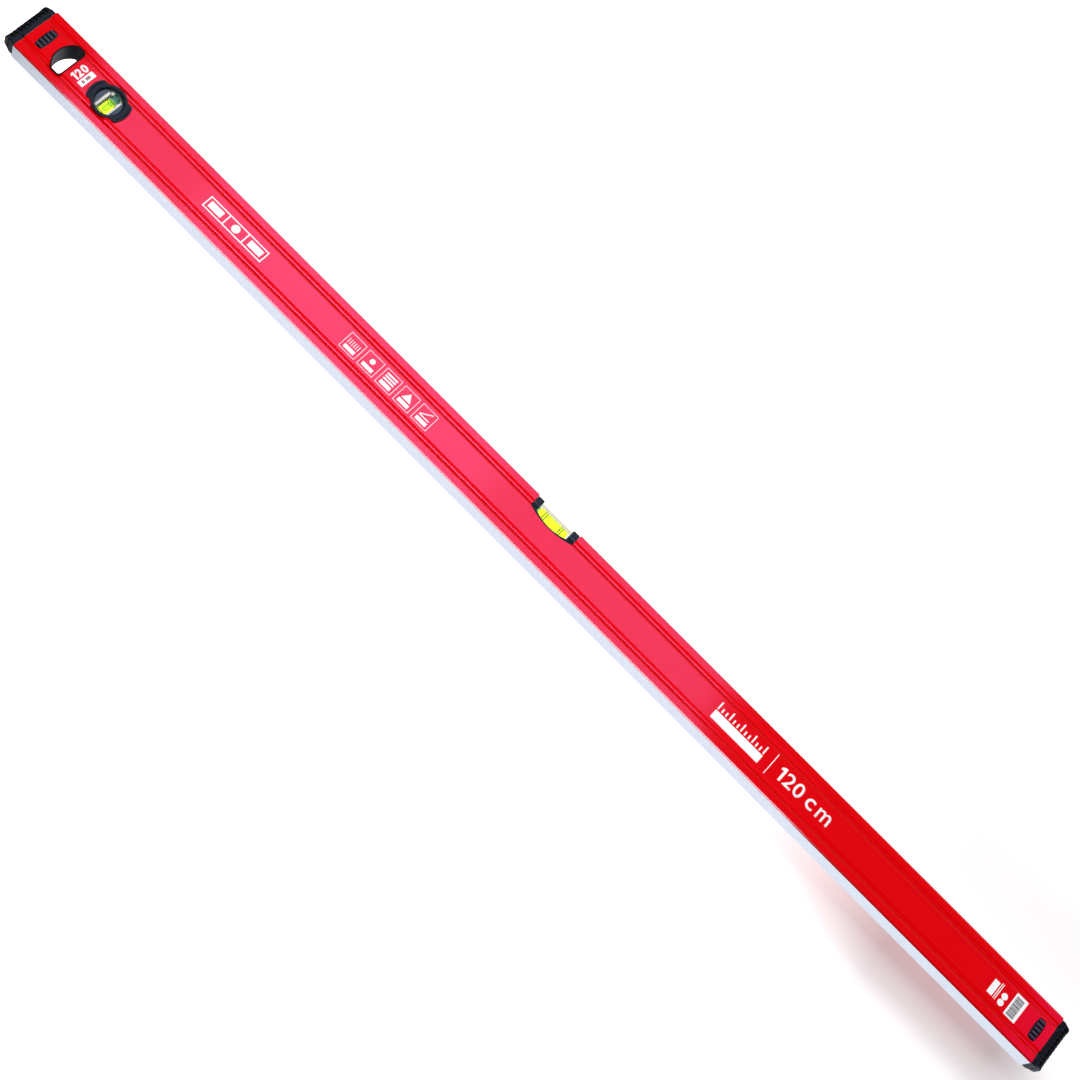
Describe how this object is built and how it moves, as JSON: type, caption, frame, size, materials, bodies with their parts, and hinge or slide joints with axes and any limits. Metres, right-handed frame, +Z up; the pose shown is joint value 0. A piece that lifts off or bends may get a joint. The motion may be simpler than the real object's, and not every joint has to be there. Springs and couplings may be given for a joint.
{
  "type": "spirit level",
  "caption": "Long red aluminium box-section spirit level with a milled measuring face, a top-reading level vial, a plumb vial, a lined hand hole and ribbed black pull-off end caps.",
  "frame": {"origin": "middle of the milled measuring face, on which the level stands", "axes": "+X along the level, away from the hand hole end; -Y is the front face; +Z up, from the measuring face to the edge with the level vial"},
  "size_m": [1.2, 0.0224, 0.05],
  "materials": {
    "profile": "glossy red powder coat outside; the measuring face is milled bare aluminium",
    "cap_plastic": "satin black moulded plastic",
    "bumper_rubber": "soft black rubber with moulded ribs",
    "button_plastic": "glossy black moulded plastic",
    "liner_plastic": "satin black moulded plastic",
    "bezel_plastic": "satin black moulded plastic with a fine grain",
    "vial_frame_plastic": "black moulded plastic",
    "reflector_plastic": "pale cream moulded plastic",
    "vial_acrylic": "clear acrylic block",
    "vial_plug_plastic": "dark green plug",
    "vial_liquid": "clear yellow-green spirit",
    "vial_bubble": "air bubble",
    "ring_ink": "thin black marking rings",
    "holder_plastic": "satin black moulded plastic"
  },
  "bodies": {
    "root": {"profile": "profile", "hand_hole_liner_front": "liner_plastic", "hand_hole_liner_back": "liner_plastic", "plumb_bezel_front": "bezel_plastic", "plumb_bezel_back": "bezel_plastic", "plumb_vial_frame": "vial_frame_plastic", "plumb_vial_block": "vial_acrylic", "plumb_vial_plug": "vial_plug_plastic", "plumb_reflector": "reflector_plastic", "plumb_rings": "ring_ink", "plumb_liquid": "vial_liquid", "centre_vial_holder": "holder_plastic", "centre_vial_block": "vial_acrylic", "centre_vial_plug": "vial_plug_plastic", "centre_reflector": "reflector_plastic", "centre_rings": "ring_ink", "centre_liquid": "vial_liquid"},
    "left_cap": {"left_cap_plug": "cap_plastic", "left_cap_bumper": "bumper_rubber"},
    "right_cap": {"right_cap_plug": "cap_plastic", "right_cap_bumper": "bumper_rubber"},
    "left_front_button_body": {"left_front_button": "button_plastic"},
    "left_back_button_body": {"left_back_button": "button_plastic"},
    "right_front_button_body": {"right_front_button": "button_plastic"},
    "right_back_button_body": {"right_back_button": "button_plastic"},
    "plumb_bubble_body": {"plumb_bubble": "vial_bubble"},
    "centre_bubble_body": {"centre_bubble": "vial_bubble"}
  },
  "joints": [
    {"name": "left_cap_pull", "type": "slide", "parent": "root", "child": "left_cap", "axis": [-1, 0, 0], "range_m": [0, 0.03], "deforming": ["left_front_button", "left_back_button"]},
    {"name": "right_cap_pull", "type": "slide", "parent": "root", "child": "right_cap", "axis": [1, 0, 0], "range_m": [0, 0.03], "deforming": ["right_front_button", "right_back_button"]},
    {"name": "left_front_press", "type": "slide", "parent": "left_cap", "child": "left_front_button_body", "axis": [0, 1, 0], "range_m": [0, 0.0027], "stiffness_N_per_m": 1500},
    {"name": "left_back_press", "type": "slide", "parent": "left_cap", "child": "left_back_button_body", "axis": [0, -1, 0], "range_m": [0, 0.0027], "stiffness_N_per_m": 1500},
    {"name": "right_front_press", "type": "slide", "parent": "right_cap", "child": "right_front_button_body", "axis": [0, 1, 0], "range_m": [0, 0.0027], "stiffness_N_per_m": 1500},
    {"name": "right_back_press", "type": "slide", "parent": "right_cap", "child": "right_back_button_body", "axis": [0, -1, 0], "range_m": [0, 0.0027], "stiffness_N_per_m": 1500},
    {"name": "plumb_bubble_travel", "type": "slide", "parent": "root", "child": "plumb_bubble_body", "axis": [0, 0, 1], "range_m": [-0.004, 0], "stiffness_N_per_m": 3, "springref_m": 0.006, "deforming": ["plumb_liquid"]},
    {"name": "centre_bubble_travel", "type": "slide", "parent": "root", "child": "centre_bubble_body", "axis": [1, 0, 0], "range_m": [-0.008, 0.008], "stiffness_N_per_m": 1, "deforming": ["centre_liquid"]}
  ]
}
